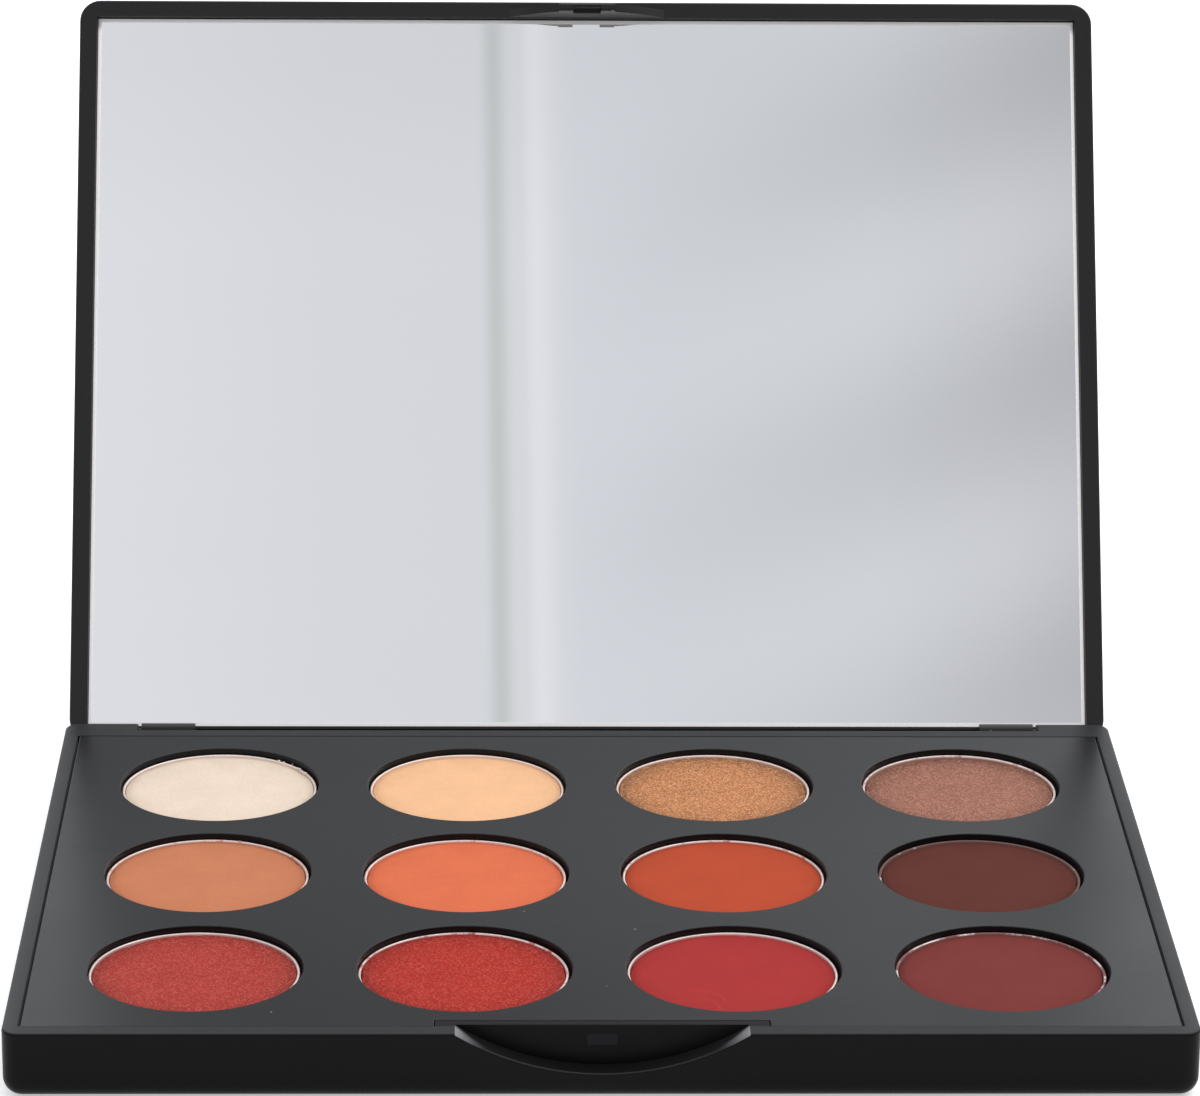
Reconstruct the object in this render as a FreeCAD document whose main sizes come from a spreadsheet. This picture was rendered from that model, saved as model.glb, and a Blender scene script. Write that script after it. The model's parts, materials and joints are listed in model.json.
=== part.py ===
import FreeCAD, Part
import math
import os

import Sketcher
from FreeCAD import Rotation, Vector

# Twelve-pan eyeshadow palette: a hinged mirror lid over a base with a pan tray.
#
# Frame: origin at the middle of the base's underside, X to the right, Y to the back,
# Z up. The lid stands open on its stop. Lengths are in millimetres.

os.makedirs("parts", exist_ok=True)
doc = FreeCAD.newDocument("eyeshadow_palette")

# ---------------------------------------------------------------- driving dimensions
DRIVING = [
    ("base_width", 146.8, "outside width of the base at its top"),
    ("base_depth", 107.6, "outside depth of the base, and of the lid"),
    ("base_height", 8.8, "underside to the top of the rim"),
    ("base_corner", 2.2, "plan radius of the base's corners"),
    ("under_round", 2.4, "rounding between the walls and the underside"),
    ("rim_round", 0.35, "rounding of the outside edges of both rims"),
    ("edge_break", 0.12, "small rounding of the inside edges"),
    ("lug_round", 1.08, "back edge of the base, rounded about the hinge axis"),
    ("floor_thick", 1.5, "floor of the base"),
    ("tray_width", 142.3, "pan tray, side to side"),
    ("tray_depth", 99.8, "pan tray, front to back"),
    ("tray_centre_y", -1.45, "middle of the tray, behind the middle of the base"),
    ("tray_gap_side", 0.3, "shut line between tray and base at the sides"),
    ("tray_gap_back", 0.12, "shut line behind the tray, and round the scoop's block"),
    ("tray_gap_front", 0.05, "tight shut line in front of the tray"),
    ("tray_plate", 1.2, "top plate of the tray"),
    ("tray_skirt", 1.2, "wall that hangs round the tray's edge"),
    ("well_radius", 13.55, "opening for one pan"),
    ("well_wall", 1.0, "wall of the cup below each opening"),
    ("well_floor", 1.5, "floor of that cup"),
    ("pitch_x", 33.8, "pan spacing, side to side"),
    ("pitch_y", 31.7, "pan spacing, front to back"),
    ("grid_centre_y", -1.6, "middle of the pan grid"),
    ("pan_radius", 13.25, "outside of a 26.5 mm pan"),
    ("pan_height", 5.0, "pan, underside to rim"),
    ("pan_wall", 0.35, "sheet of the pan"),
    ("pan_drop", 0.75, "pan rim below the tray's top"),
    ("powder_drop", 0.2, "powder below the pan rim"),
    ("powder_gap", 0.05, "room between the powder and the pan's wall"),
    ("glue_radius", 6.0, "dot of glue below a pan"),
    ("block_width", 41.0, "thick part of the front wall behind the scoop"),
    ("block_back", 4.1, "back of that part, behind the front face"),
    ("scoop_depth", 2.9, "how far the thumb scoop is sunk into the front"),
    ("scoop_drop", 5.3, "lowest point of the scoop below the rim"),
    ("scoop_radius", 33.5, "radius of the scoop's arc"),
    ("bump_width", 3.7, "latch bump on the scoop's wall"),
    ("bump_height", 1.5, "latch bump, top to bottom"),
    ("bump_drop", 1.05, "top of the bump below the rim"),
    ("bump_slope", 0.9, "height of the bump's sloping upper part"),
    ("bump_out", 0.35, "how far the bump stands out"),
    ("bump_round", 0.08, "rounding of the bump's edges"),
    ("lean", 28.4, "open lid, back from upright, in degrees"),
    ("hinge_drop", 0.95, "hinge axis below the base's rim"),
    ("hinge_inset", 1.0, "hinge axis in front of the back face"),
    ("knuckle_radius", 1.15, "barrel of a lid knuckle"),
    ("knuckle_start", 55.3, "inner end of a knuckle, from the middle"),
    ("knuckle_length", 7.5, "length of a knuckle"),
    ("web_root", 1.0, "how far a knuckle's web is sunk into the lid's rim"),
    ("recess_half", 63.3, "half width of the hinge recess in the base"),
    ("recess_depth", 2.7, "recess, in from the back face"),
    ("recess_drop", 3.0, "recess, down from the rim"),
    ("pin_radius", 0.45, "steel hinge pin"),
    ("pin_play", 0.05, "running clearance round the pin in a knuckle"),
    ("pin_length", 16.0, "hinge pin"),
    ("lid_width", 146.2, "outside width of the lid"),
    ("lid_height", 4.2, "rim of the lid to its outside face"),
    ("lid_corner", 3.0, "plan radius of the lid's corners"),
    ("lid_round", 2.0, "rounding round the lid's outside face"),
    ("closing_gap", 0.2, "gap between the two rims when shut"),
    ("stop_gap", 0.12, "play left at the open stop"),
    ("front_border", 2.4, "rim beyond the mirror at the lid's front edge"),
    ("side_border", 2.5, "rim beside the mirror"),
    ("hinge_border", 1.95, "rim along the hinge"),
    ("rebate_wall", 0.4, "what stands of that rim between the knuckles"),
    ("rebate_depth", 1.2, "how deep the rest of it is cut away"),
    ("mirror_recess", 0.8, "mirror below the lid's rim"),
    ("mirror_thick", 1.1, "mirror glass"),
    ("mirror_gap", 0.1, "room round the mirror"),
    ("mirror_arris", 0.35, "ground edge of the glass"),
    ("tape_thick", 0.15, "adhesive sheet behind the mirror"),
    ("tape_margin", 2.0, "glass beyond the adhesive sheet, all round"),
    ("lip_half", 11.2, "half width of the latch lip at the lid's rim"),
    ("lip_reach", 3.55, "how far the lip's arc reaches past the rim"),
    ("lip_thick", 1.15, "thickness of the lip"),
    ("lip_root", 0.5, "how far the lip is sunk into the lid's rim"),
    ("lip_inset", 2.35, "inside face of the lip, behind the lid's front edge"),
    ("tab_width", 8.1, "straight tab in the middle of the lip"),
    ("tab_reach", 3.95, "how far the tab reaches past the rim"),
    ("tab_lead_in", 0.25, "bevels at the tip of the tab"),
    ("groove_width", 3.95, "groove in the tab's inside face for the latch bump"),
    ("groove_near", 2.25, "closed end of the groove, past the rim"),
    ("groove_depth", 0.55, "depth of the groove"),
    ("overcut", 1.0, "how far a cut runs past the body"),
]
sheet = doc.addObject("Spreadsheet::Sheet", "dims")
for row, (alias, value, meaning) in enumerate(DRIVING, start=1):
    sheet.set(f"A{row}", alias)
    sheet.set(f"B{row}", str(value))
    sheet.set(f"C{row}", meaning)
    sheet.setAlias(f"B{row}", alias)
doc.recompute()

TOLERANCE = 1e-4
MARGIN = 0.01
LEAST_CUT = 1e-3
COLUMNS = 4
ROWS = ["front", "middle", "back"]
SIDES = {"left": -1, "right": 1}
# How far each pan sits off the middle of its well, left to right.
SEAT_SHIFT = {
    "front": [-0.15, -0.2, -0.2, -0.2],
    "middle": [-0.1, -0.15, -0.05, -0.15],
    "back": [-0.05, -0.05, -0.2, -0.2],
}


def size(alias):
    """The present value of one cell of the sheet."""
    return float(sheet.get(alias))


# ---------------------------------------------------------------- sketch and body helpers
def new_body(label):
    body = doc.addObject("PartDesign::Body", label)
    body.Label = label
    return body


def new_sketch(body, name, role, offset=None):
    """A sketch on one of the body's origin planes, moved along its normal by offset."""
    plane = next(item for item in body.Origin.OriginFeatures if item.Role == role)
    sketch = body.newObject("Sketcher::SketchObject", name)
    sketch.AttachmentSupport = [(plane, "")]
    sketch.MapMode = "FlatFace"
    if offset is not None:
        sketch.setExpression("AttachmentOffset.Base.z", offset)
    return sketch


def bind(sketch, constraint, expression):
    """Add a dimension to a sketch and tie it to the sheet."""
    number = sketch.addConstraint(constraint)
    sketch.setExpression(f"Constraints[{number}]", expression)


def draw_polygon(sketch, corners):
    """A closed outline whose corners are pairs of expressions, (across, up)."""
    first = sketch.GeometryCount
    points = [Vector(evaluate(across), evaluate(up), 0) for across, up in corners]
    count = len(points)
    for index in range(count):
        sketch.addGeometry(Part.LineSegment(points[index], points[(index + 1) % count]))
    for index in range(count):
        following = first + (index + 1) % count
        sketch.addConstraint(Sketcher.Constraint("Coincident", first + index, 2, following, 1))
    for index, (across, up) in enumerate(corners):
        pin_point(sketch, first + index, 1, across, up)


def pin_point(sketch, edge, end, across, up):
    """Fix one point of a sketch at two expressions, measured from the origin."""
    for kind, expression in (("DistanceX", across), ("DistanceY", up)):
        value = evaluate(expression)
        if abs(value) < TOLERANCE:
            axis = -2 if kind == "DistanceX" else -1
            sketch.addConstraint(Sketcher.Constraint("PointOnObject", edge, end, axis))
        else:
            bind(sketch, Sketcher.Constraint(kind, -1, 1, edge, end, value), expression)


def evaluate(expression):
    """The value of an expression of the sheet, for a first position of its geometry."""
    return float(sheet.evalExpression(expression))


def draw_box(sketch, left, right, low, high):
    draw_polygon(sketch, [(left, low), (right, low), (right, high), (left, high)])


def draw_circle(sketch, across, up, radius):
    centre = Vector(evaluate(across), evaluate(up), 0)
    edge = sketch.addGeometry(Part.Circle(centre, Vector(0, 0, 1), evaluate(radius)))
    pin_point(sketch, edge, 3, across, up)
    bind(sketch, Sketcher.Constraint("Radius", edge, evaluate(radius)), radius)


def pad(body, sketch, length, reverse=False, both=False):
    feature = body.newObject("PartDesign::Pad", f"{sketch.Name}_pad")
    feature.Profile = sketch
    feature.Reversed = reverse
    feature.Midplane = both
    feature.setExpression("Length", length)
    doc.recompute()
    return feature


def pocket(body, sketch, length, reverse=False, both=False):
    """Cut a sketch into the body, and make sure that it took something away."""
    before = body.Shape.Volume
    feature = body.newObject("PartDesign::Pocket", f"{sketch.Name}_cut")
    feature.Profile = sketch
    feature.Reversed = reverse
    feature.Midplane = both
    feature.setExpression("Length", length)
    doc.recompute()
    if body.Shape.Volume > before - LEAST_CUT:
        raise RuntimeError(f"{feature.Name} cut nothing")
    return feature


def dress(body, kind, name, wanted, amount):
    """Fillet or chamfer the edges of the body for which wanted(edge) is true."""
    tip = body.Tip
    names = [f"Edge{number}" for number, edge in enumerate(tip.Shape.Edges, start=1)
             if wanted(edge)]
    if not names:
        raise RuntimeError(f"{name} finds no edge")
    feature = body.newObject(f"PartDesign::{kind}", name)
    feature.Base = (tip, names)
    feature.setExpression("Radius" if kind == "Fillet" else "Size", amount)
    doc.recompute()
    if "Invalid" in feature.State:
        raise RuntimeError(f"{name} failed")
    return feature


def edge_box(edge):
    return edge.BoundBox


def is_upright(edge):
    """True for a straight edge that stands along Z, or nearly so."""
    box = edge_box(edge)
    return box.ZLength > 5 * max(box.XLength, box.YLength)


def lies_at(edge, height):
    """True for an edge that lies flat at this height."""
    box = edge_box(edge)
    return abs(box.ZMin - height) < TOLERANCE and abs(box.ZMax - height) < TOLERANCE


# ---------------------------------------------------------------- base
def base_shell():
    body = new_body("base_shell")
    outline = new_sketch(body, "base_outline", "XY_Plane")
    draw_box(outline, "-dims.base_width / 2", "dims.base_width / 2",
             "-dims.base_depth / 2", "dims.base_depth / 2")
    pad(body, outline, "dims.base_height")
    dress(body, "Fillet", "base_corners", is_upright, "dims.base_corner")
    dress(body, "Fillet", "base_underside", lambda edge: lies_at(edge, 0), "dims.under_round")

    well = new_sketch(body, "tray_well", "XY_Plane", "dims.base_height")
    side = "dims.tray_width / 2 + dims.tray_gap_side"
    front = "dims.tray_centre_y - dims.tray_depth / 2 - dims.tray_gap_front"
    back = "dims.tray_centre_y + dims.tray_depth / 2 + dims.tray_gap_back"
    block = "dims.block_back - dims.base_depth / 2"
    half = "dims.block_width / 2"
    draw_polygon(well, [
        (f"-({side})", front), (f"-({half})", front), (f"-({half})", block), (half, block),
        (half, front), (side, front), (side, back), (f"-({side})", back)])
    pocket(body, well, "dims.base_height - dims.floor_thick")

    scoop = new_sketch(body, "thumb_scoop", "XZ_Plane", "dims.base_depth / 2")
    draw_circle(scoop, "0", "dims.base_height - dims.scoop_drop + dims.scoop_radius",
                "dims.scoop_radius")
    pocket(body, scoop, "dims.scoop_depth")

    recess = new_sketch(body, "hinge_recess", "XY_Plane", "dims.base_height")
    draw_box(recess, "-dims.recess_half", "dims.recess_half",
             "dims.base_depth / 2 - dims.recess_depth", "dims.base_depth / 2 + dims.overcut")
    pocket(body, recess, "dims.recess_drop")
    round_base_edges(body)
    round_lugs(body)

    add_bump(body)
    for side_name, sign in SIDES.items():
        bore = new_sketch(body, f"pin_bore_{side_name}", "YZ_Plane",
                          f"{sign} * dims.recess_half")
        draw_circle(bore, "dims.base_depth / 2 - dims.hinge_inset",
                    "dims.base_height - dims.hinge_drop", "dims.pin_radius")
        pocket(body, bore, "dims.knuckle_start + dims.pin_length - dims.recess_half",
               reverse=sign > 0)
    return body


def add_bump(body):
    """The latch bump on the scoop's wall: a ramp above, a catch below."""
    bump = new_sketch(body, "latch_bump", "YZ_Plane")
    wall = "dims.scoop_depth - dims.base_depth / 2"
    out = f"{wall} - dims.bump_out"
    root = f"{wall} + dims.bump_out"
    top = "dims.base_height - dims.bump_drop"
    bottom = f"{top} - dims.bump_height"
    draw_polygon(bump, [(root, bottom), (root, top), (wall, top),
                        (out, f"{top} - dims.bump_slope"), (out, bottom)])
    pad(body, bump, "dims.bump_width", both=True)
    half = size("bump_width") / 2
    face = evaluate(wall) - TOLERANCE

    def bump_edge(edge):
        box = edge_box(edge)
        return max(-box.XMin, box.XMax) < half + MARGIN and box.YMin < face

    dress(body, "Fillet", "bump_edges", bump_edge, "dims.bump_round")


def round_base_edges(body):
    """Round the rim outside, then the edges round the tray and the scoop's wall."""
    top = size("base_height")
    front = -size("base_depth") / 2
    inner_x = size("tray_width") / 2 + size("tray_gap_side") + MARGIN
    inner_y = size("tray_centre_y") + size("tray_depth") / 2 + size("tray_gap_back") + MARGIN
    seam = size("tray_centre_y") - size("tray_depth") / 2

    def inside(edge):
        box = edge_box(edge)
        clear_of_front = box.YMin > front + size("scoop_depth") / 2
        return max(-box.XMin, box.XMax) < inner_x and box.YMax < inner_y and clear_of_front

    def scoop_top(edge):
        return abs(edge_box(edge).YMax - front - size("scoop_depth")) < TOLERANCE

    def front_seam(edge):
        return edge_box(edge).YMax < seam

    def outside(edge):
        box = edge_box(edge)
        at_front = abs(box.YMax - front) < TOLERANCE and box.ZMax > top - size("scoop_drop") / 2
        return not inside(edge) and (lies_at(edge, top) or at_front)

    dress(body, "Fillet", "base_rim", outside, "dims.rim_round")
    dress(body, "Fillet", "base_inside",
          lambda edge: lies_at(edge, top) and inside(edge) and not scoop_top(edge)
          and not front_seam(edge), "dims.edge_break")


def round_lugs(body):
    """Trim the top back edge to a circle about the hinge axis, so that the lid clears it."""
    trim = new_sketch(body, "lug_trim", "YZ_Plane")
    axis_y = "dims.base_depth / 2 - dims.hinge_inset"
    axis_z = "dims.base_height - dims.hinge_drop"
    radius = size("lug_round")
    centre = Vector(evaluate(axis_y), evaluate(axis_z), 0)
    arc = sketch_arc(trim, centre, radius, 0, math.pi / 2)
    pin_point(trim, arc, 3, axis_y, axis_z)
    bind(trim, Sketcher.Constraint("Radius", arc, radius), "dims.lug_round")
    reach = 2 * radius
    corners = [centre + Vector(0, radius, 0), centre + Vector(0, reach, 0),
               centre + Vector(reach, reach, 0), centre + Vector(reach, 0, 0),
               centre + Vector(radius, 0, 0)]
    first = trim.GeometryCount
    for begin, end in zip(corners, corners[1:]):
        trim.addGeometry(Part.LineSegment(begin, end))
    for edge in range(first, first + 3):
        trim.addConstraint(Sketcher.Constraint("Coincident", edge, 2, edge + 1, 1))
    trim.addConstraint(Sketcher.Constraint("Coincident", arc, 2, first, 1))
    trim.addConstraint(Sketcher.Constraint("Coincident", first + 3, 2, arc, 1))
    for edge, kind in enumerate(["Vertical", "Horizontal", "Vertical", "Horizontal"], first):
        trim.addConstraint(Sketcher.Constraint(kind, edge))
    pin_point(trim, first + 1, 2, f"{axis_y} + 2 * dims.lug_round",
              f"{axis_z} + 2 * dims.lug_round")
    pocket(body, trim, "dims.base_width + 2 * dims.overcut", both=True)


# ---------------------------------------------------------------- tray, pans and powders
def grid_place(column, row):
    """Expressions for the middle of one well."""
    across = f"dims.pitch_x * {column - (COLUMNS - 1) / 2}"
    along = f"dims.grid_centre_y + dims.pitch_y * {row - (len(ROWS) - 1) / 2}"
    return across, along


def draw_wells(sketch, radius):
    for row in range(len(ROWS)):
        for column in range(COLUMNS):
            across, along = grid_place(column, row)
            draw_circle(sketch, across, along, radius)


def pan_tray():
    body = new_body("pan_tray")
    half = "dims.tray_width / 2"
    front = "dims.tray_centre_y - dims.tray_depth / 2"
    back = "dims.tray_centre_y + dims.tray_depth / 2"
    top = "dims.base_height"
    underside = "dims.base_height - dims.tray_plate"
    hanging = "dims.base_height - dims.tray_plate - dims.floor_thick"

    plate = new_sketch(body, "tray_plate_outline", "XY_Plane", top)
    draw_box(plate, f"-{half}", half, front, back)
    pad(body, plate, "dims.tray_plate", reverse=True)

    skirt = new_sketch(body, "tray_skirt_outline", "XY_Plane", underside)
    draw_box(skirt, f"-{half}", half, front, back)
    inner = f"{half} - dims.tray_skirt"
    draw_box(skirt, f"-({inner})", inner, f"{front} + dims.tray_skirt",
             f"{back} - dims.tray_skirt")
    pad(body, skirt, hanging, reverse=True)

    cups = new_sketch(body, "well_cups", "XY_Plane", underside)
    draw_wells(cups, "dims.well_radius + dims.well_wall")
    pad(body, cups, hanging, reverse=True)

    wells = new_sketch(body, "wells", "XY_Plane", top)
    draw_wells(wells, "dims.well_radius")
    pocket(body, wells, "dims.base_height - dims.floor_thick - dims.well_floor")

    notch = new_sketch(body, "block_notch", "XY_Plane", top)
    notch_half = "dims.block_width / 2 + dims.tray_gap_back"
    draw_box(notch, f"-({notch_half})", notch_half, f"{front} - dims.overcut",
             "dims.block_back - dims.base_depth / 2 + dims.tray_gap_back")
    pocket(body, notch, "dims.base_height")
    height = size("base_height")
    front_edge = evaluate(front) + TOLERANCE
    dress(body, "Fillet", "tray_edges",
          lambda edge: lies_at(edge, height) and edge_box(edge).YMax > front_edge,
          "dims.edge_break")
    return body


def place_in_grid(item, name, column, row, height):
    """Bind an object's place to its well, with the small shift of that pan."""
    across, along = grid_place(column, row)
    shift = SEAT_SHIFT[name][column]
    item.setExpression("Placement.Base.x", f"{across} + {shift}")
    item.setExpression("Placement.Base.y", along)
    item.setExpression("Placement.Base.z", height)


def pan(name, column, row):
    """One pressed-metal pan, a shallow cup turned about its own axis."""
    body = new_body(f"pan_{name}_{column + 1}")
    profile = new_sketch(body, f"pan_profile_{name}_{column + 1}", "XZ_Plane")
    inside = "dims.pan_radius - dims.pan_wall"
    draw_polygon(profile, [
        ("0", "0"), ("dims.pan_radius", "0"), ("dims.pan_radius", "dims.pan_height"),
        (inside, "dims.pan_height"), (inside, "dims.pan_wall"), ("0", "dims.pan_wall")])
    turn(body, profile)
    place_in_grid(body, name, column, row,
                  "dims.base_height - dims.pan_drop - dims.pan_height")
    return body


def turn(body, profile):
    """Revolve a profile once round the sketch's vertical axis."""
    feature = body.newObject("PartDesign::Revolution", f"{profile.Name}_turned")
    feature.Profile = profile
    feature.ReferenceAxis = (profile, ["V_Axis"])
    feature.Angle = 360
    doc.recompute()


def powder(name, column, row):
    """The pressed powder in one pan, with its edge broken all round."""
    body = new_body(f"powder_{name}_{column + 1}")
    profile = new_sketch(body, f"powder_profile_{name}_{column + 1}", "XZ_Plane")
    rim = "dims.pan_radius - dims.pan_wall - dims.powder_gap"
    thick = "dims.pan_height - dims.pan_wall - dims.powder_drop"
    draw_polygon(profile, [
        ("0", "0"), (rim, "0"), (rim, f"{thick} - dims.powder_drop"),
        (f"{rim} - dims.powder_drop", thick), ("0", thick)])
    turn(body, profile)
    place_in_grid(body, name, column, row,
                  "dims.base_height - dims.pan_drop - dims.pan_height + dims.pan_wall")
    return body


def pan_glue():
    """A dot of glue between each pan and the floor of its well."""
    group = doc.addObject("Part::Compound", "pan_glue")
    dots = []
    for row, name in enumerate(ROWS):
        for column in range(COLUMNS):
            dot = doc.addObject("Part::Cylinder", f"glue_dot_{name}_{column + 1}")
            dot.setExpression("Radius", "dims.glue_radius")
            dot.setExpression("Height", "dims.base_height - dims.pan_drop - dims.pan_height"
                              " - dims.floor_thick - dims.well_floor")
            place_in_grid(dot, name, column, row, "dims.floor_thick + dims.well_floor")
            dots.append(dot)
    group.Links = dots
    return group


# ---------------------------------------------------------------- lid
# The lid's own frame has its origin on the hinge axis: Y runs up the lid to its front
# edge and Z out of the mirror. The rim lies RIM behind the axis.
RIM = "-(dims.hinge_drop + dims.closing_gap)"
LID_BACK = "-dims.hinge_inset"
LID_FRONT = "dims.base_depth - dims.hinge_inset"


def open_lid(item):
    """Stand a piece of the lid in its open place on the hinge axis."""
    item.setExpression("Placement.Base.y", "dims.base_depth / 2 - dims.hinge_inset")
    item.setExpression("Placement.Base.z", "dims.base_height - dims.hinge_drop")
    item.Placement.Rotation = Rotation(Vector(1, 0, 0), 1)
    item.setExpression("Placement.Rotation.Angle", "90 - dims.lean")
    return item


def lid_shell():
    body = new_body("lid_shell")
    outline = new_sketch(body, "lid_outline", "XY_Plane", RIM)
    draw_box(outline, "-dims.lid_width / 2", "dims.lid_width / 2", LID_BACK, LID_FRONT)
    pad(body, outline, "dims.lid_height", reverse=True)
    dress(body, "Fillet", "lid_corners", is_upright, "dims.lid_corner")
    rim = evaluate(RIM)
    outside = rim - size("lid_height")
    dress(body, "Fillet", "lid_outside", lambda edge: lies_at(edge, outside), "dims.lid_round")
    dress(body, "Fillet", "lid_rim", lambda edge: lies_at(edge, rim), "dims.rim_round")

    # The bevel lies flat on the base's back face when the lid is open.
    bevel = new_sketch(body, "stop_bevel", "YZ_Plane")
    reach = "dims.hinge_inset + dims.stop_gap"
    start = f"({reach} + ({RIM}) * cos(dims.lean * 1deg)) / sin(dims.lean * 1deg)"
    low = f"-({reach} + dims.hinge_inset * sin(dims.lean * 1deg)) / cos(dims.lean * 1deg)"
    beyond = f"{LID_BACK} - dims.overcut"
    above = f"{RIM} + dims.overcut"
    draw_polygon(bevel, [(start, RIM), (LID_BACK, low), (beyond, low), (beyond, above),
                         (start, above)])
    pocket(body, bevel, "dims.lid_width + 2 * dims.overcut", both=True)

    place = new_sketch(body, "mirror_place", "XY_Plane", RIM)
    side = "dims.lid_width / 2 - dims.side_border"
    draw_box(place, f"-({side})", side, f"{LID_BACK} + dims.hinge_border",
             f"{LID_FRONT} - dims.front_border")
    pocket(body, place, "dims.mirror_recess + dims.mirror_thick + dims.tape_thick")

    inner_x = evaluate(side) + MARGIN
    dress(body, "Fillet", "mirror_place_edges",
          lambda edge: lies_at(edge, rim) and edge_box(edge).XMax < inner_x
          and edge_box(edge).YMax < evaluate(LID_FRONT) - size("front_border") + MARGIN
          and edge_box(edge).YMin > evaluate(LID_BACK) + size("hinge_border") - MARGIN,
          "dims.edge_break")

    rebate = new_sketch(body, "hinge_rebate", "XY_Plane", RIM)
    draw_box(rebate, "-dims.knuckle_start", "dims.knuckle_start", f"{LID_BACK} - dims.overcut",
             f"{LID_BACK} + dims.hinge_border - dims.rebate_wall")
    pocket(body, rebate, "dims.rebate_depth")

    add_lip(body)
    for side_name, sign in SIDES.items():
        add_knuckle(body, side_name, sign)
    return open_lid(body)


def add_lip(body):
    """The latch lip: an arc with a straight, grooved tab in its middle."""
    inside = f"-({LID_FRONT} - dims.lip_inset)"
    lip = new_sketch(body, "latch_lip", "XZ_Plane", inside)
    half = size("lip_half")
    reach = size("lip_reach")
    rim = evaluate(RIM)
    radius = (half ** 2 + reach ** 2) / (2 * reach)
    centre = Vector(0, rim + reach - radius, 0)
    sweep = math.asin(half / radius)
    arc = sketch_arc(lip, centre, radius, math.pi / 2 - sweep, math.pi / 2 + sweep)
    pin_point(lip, arc, 1, "dims.lip_half", RIM)
    pin_point(lip, arc, 2, "-dims.lip_half", RIM)
    bind(lip, Sketcher.Constraint("Radius", arc, radius),
         "(dims.lip_half ^ 2 + dims.lip_reach ^ 2) / (2 * dims.lip_reach)")
    low = rim - size("lip_root")
    corners = [Vector(-half, rim, 0), Vector(-half, low, 0), Vector(half, low, 0),
               Vector(half, rim, 0)]
    first = lip.GeometryCount
    for begin, end in zip(corners, corners[1:]):
        lip.addGeometry(Part.LineSegment(begin, end))
    lip.addConstraint(Sketcher.Constraint("Coincident", arc, 2, first, 1))
    lip.addConstraint(Sketcher.Constraint("Coincident", first, 2, first + 1, 1))
    lip.addConstraint(Sketcher.Constraint("Coincident", first + 1, 2, first + 2, 1))
    lip.addConstraint(Sketcher.Constraint("Coincident", first + 2, 2, arc, 1))
    pin_point(lip, first, 2, "-dims.lip_half", f"{RIM} - dims.lip_root")
    pin_point(lip, first + 1, 2, "dims.lip_half", f"{RIM} - dims.lip_root")
    pad(body, lip, "dims.lip_thick", reverse=True)

    tab = new_sketch(body, "latch_tab", "XZ_Plane", inside)
    draw_box(tab, "-dims.tab_width / 2", "dims.tab_width / 2", RIM, f"{RIM} + dims.tab_reach")
    pad(body, tab, "dims.lip_thick", reverse=True)

    groove = new_sketch(body, "latch_groove", "XZ_Plane", inside)
    draw_box(groove, "-dims.groove_width / 2", "dims.groove_width / 2",
             f"{RIM} + dims.groove_near", f"{RIM} + dims.tab_reach + dims.overcut")
    pocket(body, groove, "dims.groove_depth")
    tip = rim + size("tab_reach")
    dress(body, "Chamfer", "tab_lead_in",
          lambda edge: lies_at(edge, tip) and edge_box(edge).XLength > 1, "dims.tab_lead_in")


def sketch_arc(sketch, centre, radius, begin, end):
    circle = Part.Circle(centre, Vector(0, 0, 1), radius)
    return sketch.addGeometry(Part.ArcOfCircle(circle, begin, end))


def add_knuckle(body, side_name, sign):
    """A barrel on the hinge axis, joined to the lid's rim, and bored for its pin."""
    start = f"{sign} * dims.knuckle_start"
    barrel = new_sketch(body, f"knuckle_{side_name}", "YZ_Plane", start)
    draw_circle(barrel, "0", "0", "dims.knuckle_radius")
    pad(body, barrel, "dims.knuckle_length", reverse=sign < 0)
    web = new_sketch(body, f"knuckle_web_{side_name}", "YZ_Plane", start)
    draw_box(web, LID_BACK, f"{LID_BACK} + dims.hinge_border", f"{RIM} - dims.web_root", "0")
    pad(body, web, "dims.knuckle_length", reverse=sign < 0)
    bore = new_sketch(body, f"knuckle_bore_{side_name}", "YZ_Plane", start)
    draw_circle(bore, "0", "0", "dims.pin_radius + dims.pin_play")
    pocket(body, bore, "dims.knuckle_length", reverse=sign > 0)


def mirror():
    body = new_body("mirror")
    face = f"{RIM} - dims.mirror_recess"
    outline = new_sketch(body, "mirror_outline", "XY_Plane", face)
    side = "dims.lid_width / 2 - dims.side_border - dims.mirror_gap"
    high = f"{LID_FRONT} - dims.front_border - dims.mirror_gap"
    low = f"{LID_BACK} + dims.hinge_border + dims.mirror_gap"
    draw_box(outline, f"-({side})", side, low, high)
    pad(body, outline, "dims.mirror_thick", reverse=True)
    height = evaluate(face)
    dress(body, "Chamfer", "mirror_edge", lambda edge: lies_at(edge, height),
          "dims.mirror_arris")
    return open_lid(body)


def mirror_tape():
    """The adhesive sheet that fills the gap between the glass and the lid."""
    body = new_body("mirror_tape")
    back = f"{RIM} - dims.mirror_recess - dims.mirror_thick"
    outline = new_sketch(body, "tape_outline", "XY_Plane", back)
    side = "dims.lid_width / 2 - dims.side_border - dims.mirror_gap - dims.tape_margin"
    high = f"{LID_FRONT} - dims.front_border - dims.mirror_gap - dims.tape_margin"
    low = f"{LID_BACK} + dims.hinge_border + dims.mirror_gap + dims.tape_margin"
    draw_box(outline, f"-({side})", side, low, high)
    pad(body, outline, "dims.tape_thick", reverse=True)
    return open_lid(body)


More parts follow.
